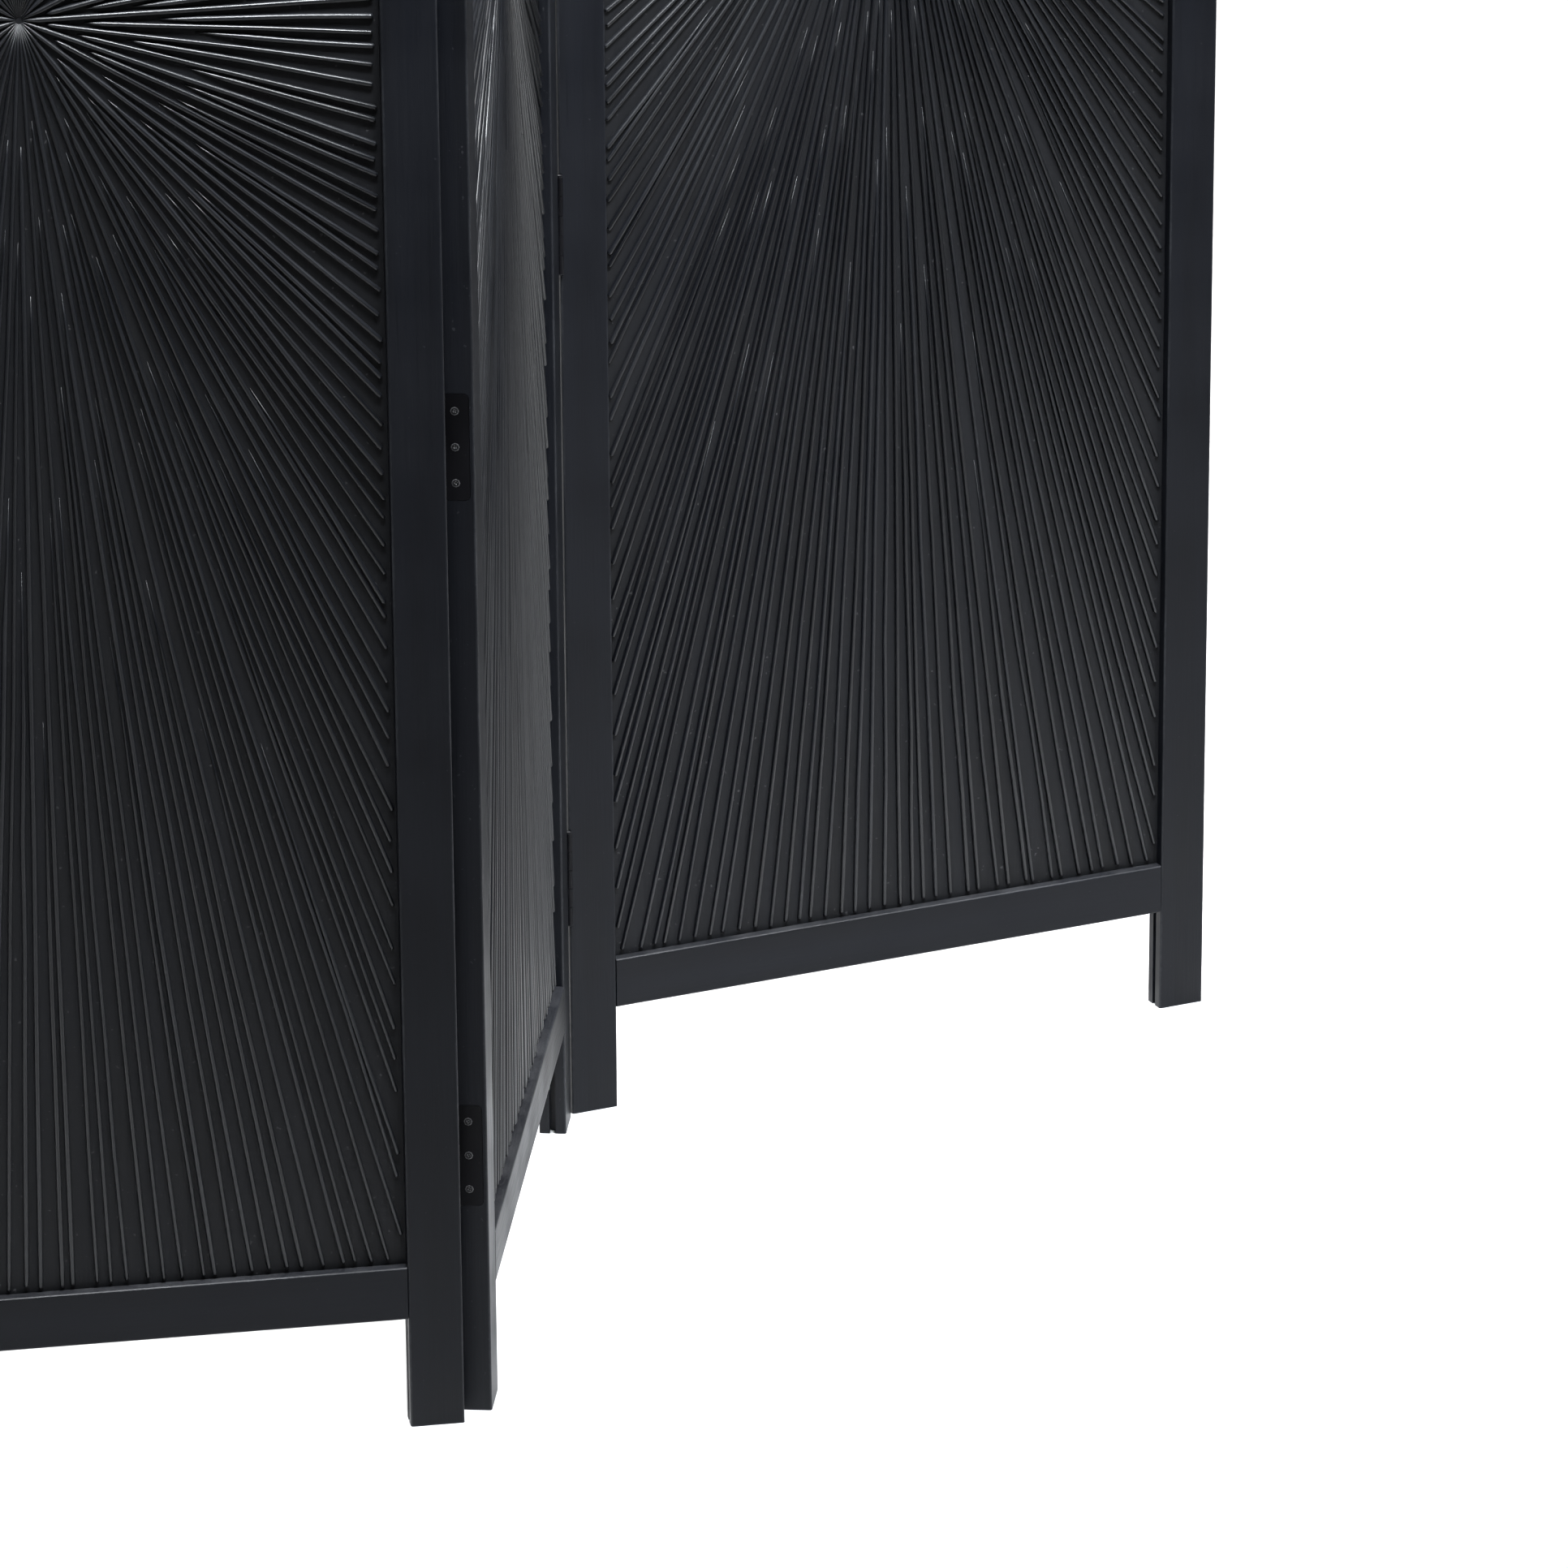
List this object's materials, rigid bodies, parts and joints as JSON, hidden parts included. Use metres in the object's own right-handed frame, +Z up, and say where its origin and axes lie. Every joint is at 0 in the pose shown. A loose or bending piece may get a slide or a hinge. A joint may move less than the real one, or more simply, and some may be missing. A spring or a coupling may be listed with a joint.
{
  "type": "folding screen",
  "caption": "Zigzag folding room divider: black wooden panel frames on short legs, each filled with a sunburst of thin sticks, hinged edge to edge with butt hinges.",
  "frame": {"origin": "middle of the footprint's bounding box, on the floor, in the pictured zigzag pose", "axes": "+Z up, the left panel lies along X with its front facing -Y, and the screen zigzags away towards +Y"},
  "size_m": [1.0776, 0.6104, 1.7],
  "materials": {
    "frame_paint": "satin black paint over close-grained wood",
    "stick_paint": "satin black paint over thin wooden sticks",
    "board_paint": "matt black paint over thin board",
    "hinge_paint": "black paint over pressed steel"
  },
  "bodies": {
    "middle_panel": {"middle_panel_left_stile": "frame_paint", "middle_panel_right_stile": "frame_paint", "middle_panel_top_rail": "frame_paint", "middle_panel_bottom_rail": "frame_paint", "middle_panel_backing_board": "board_paint", "middle_panel_sunburst": "stick_paint", "left_hinge_1_right_leaf": "hinge_paint", "left_hinge_2_right_leaf": "hinge_paint", "left_hinge_3_right_leaf": "hinge_paint", "left_hinge_4_right_leaf": "hinge_paint", "right_hinge_1_left_leaf": "hinge_paint", "right_hinge_1_pin": "hinge_paint", "right_hinge_2_left_leaf": "hinge_paint", "right_hinge_2_pin": "hinge_paint", "right_hinge_3_left_leaf": "hinge_paint", "right_hinge_3_pin": "hinge_paint", "right_hinge_4_left_leaf": "hinge_paint", "right_hinge_4_pin": "hinge_paint"},
    "left_panel": {"left_panel_left_stile": "frame_paint", "left_panel_right_stile": "frame_paint", "left_panel_top_rail": "frame_paint", "left_panel_bottom_rail": "frame_paint", "left_panel_backing_board": "board_paint", "left_panel_sunburst": "stick_paint", "left_hinge_1_left_leaf": "hinge_paint", "left_hinge_1_pin": "hinge_paint", "left_hinge_2_left_leaf": "hinge_paint", "left_hinge_2_pin": "hinge_paint", "left_hinge_3_left_leaf": "hinge_paint", "left_hinge_3_pin": "hinge_paint", "left_hinge_4_left_leaf": "hinge_paint", "left_hinge_4_pin": "hinge_paint"},
    "right_panel": {"right_panel_left_stile": "frame_paint", "right_panel_right_stile": "frame_paint", "right_panel_top_rail": "frame_paint", "right_panel_bottom_rail": "frame_paint", "right_panel_backing_board": "board_paint", "right_panel_sunburst": "stick_paint", "right_hinge_1_right_leaf": "hinge_paint", "right_hinge_2_right_leaf": "hinge_paint", "right_hinge_3_right_leaf": "hinge_paint", "right_hinge_4_right_leaf": "hinge_paint"}
  },
  "joints": [
    {"name": "left_fold", "type": "hinge", "parent": "middle_panel", "child": "left_panel", "pos_m": [-0.06336, -0.28624, 0.8385], "axis": [0, 0, 1], "range_deg": [-105, 75]},
    {"name": "right_fold", "type": "hinge", "parent": "middle_panel", "child": "right_panel", "pos_m": [0.0791, 0.16817, 0.8385], "axis": [0, 0, 1], "range_deg": [-119.5, 60.5]}
  ]
}
